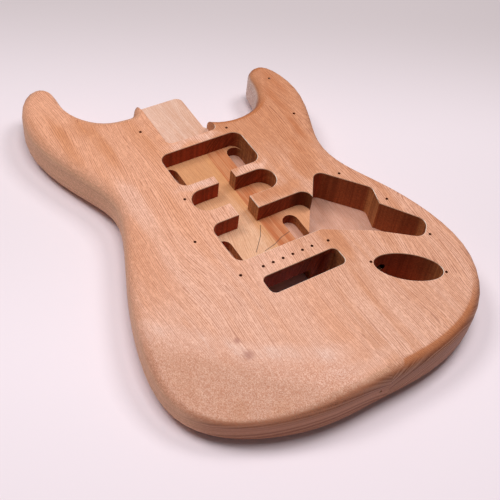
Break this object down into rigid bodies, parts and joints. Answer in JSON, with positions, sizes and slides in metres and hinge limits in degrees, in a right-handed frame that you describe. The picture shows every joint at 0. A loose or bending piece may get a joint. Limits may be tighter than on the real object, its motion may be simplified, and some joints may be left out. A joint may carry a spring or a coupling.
{
  "type": "electric guitar body",
  "caption": "Bare wooden body of a solid electric guitar with two horns, glued from boards and routed for neck, pickups, controls, output jack and tremolo.",
  "frame": {"origin": "on the top face and the centre line, midway between the six screw holes of the bridge", "axes": "+Y along the centre line towards the neck, +X towards the treble side, +Z out of the top face"},
  "size_m": [0.3238, 0.4572, 0.044],
  "materials": {
    "bare_wood": "sanded and unfinished"
  },
  "bodies": {
    "root": {"bass_board": "bare_wood", "treble_board": "bare_wood"}
  },
  "joints": []
}
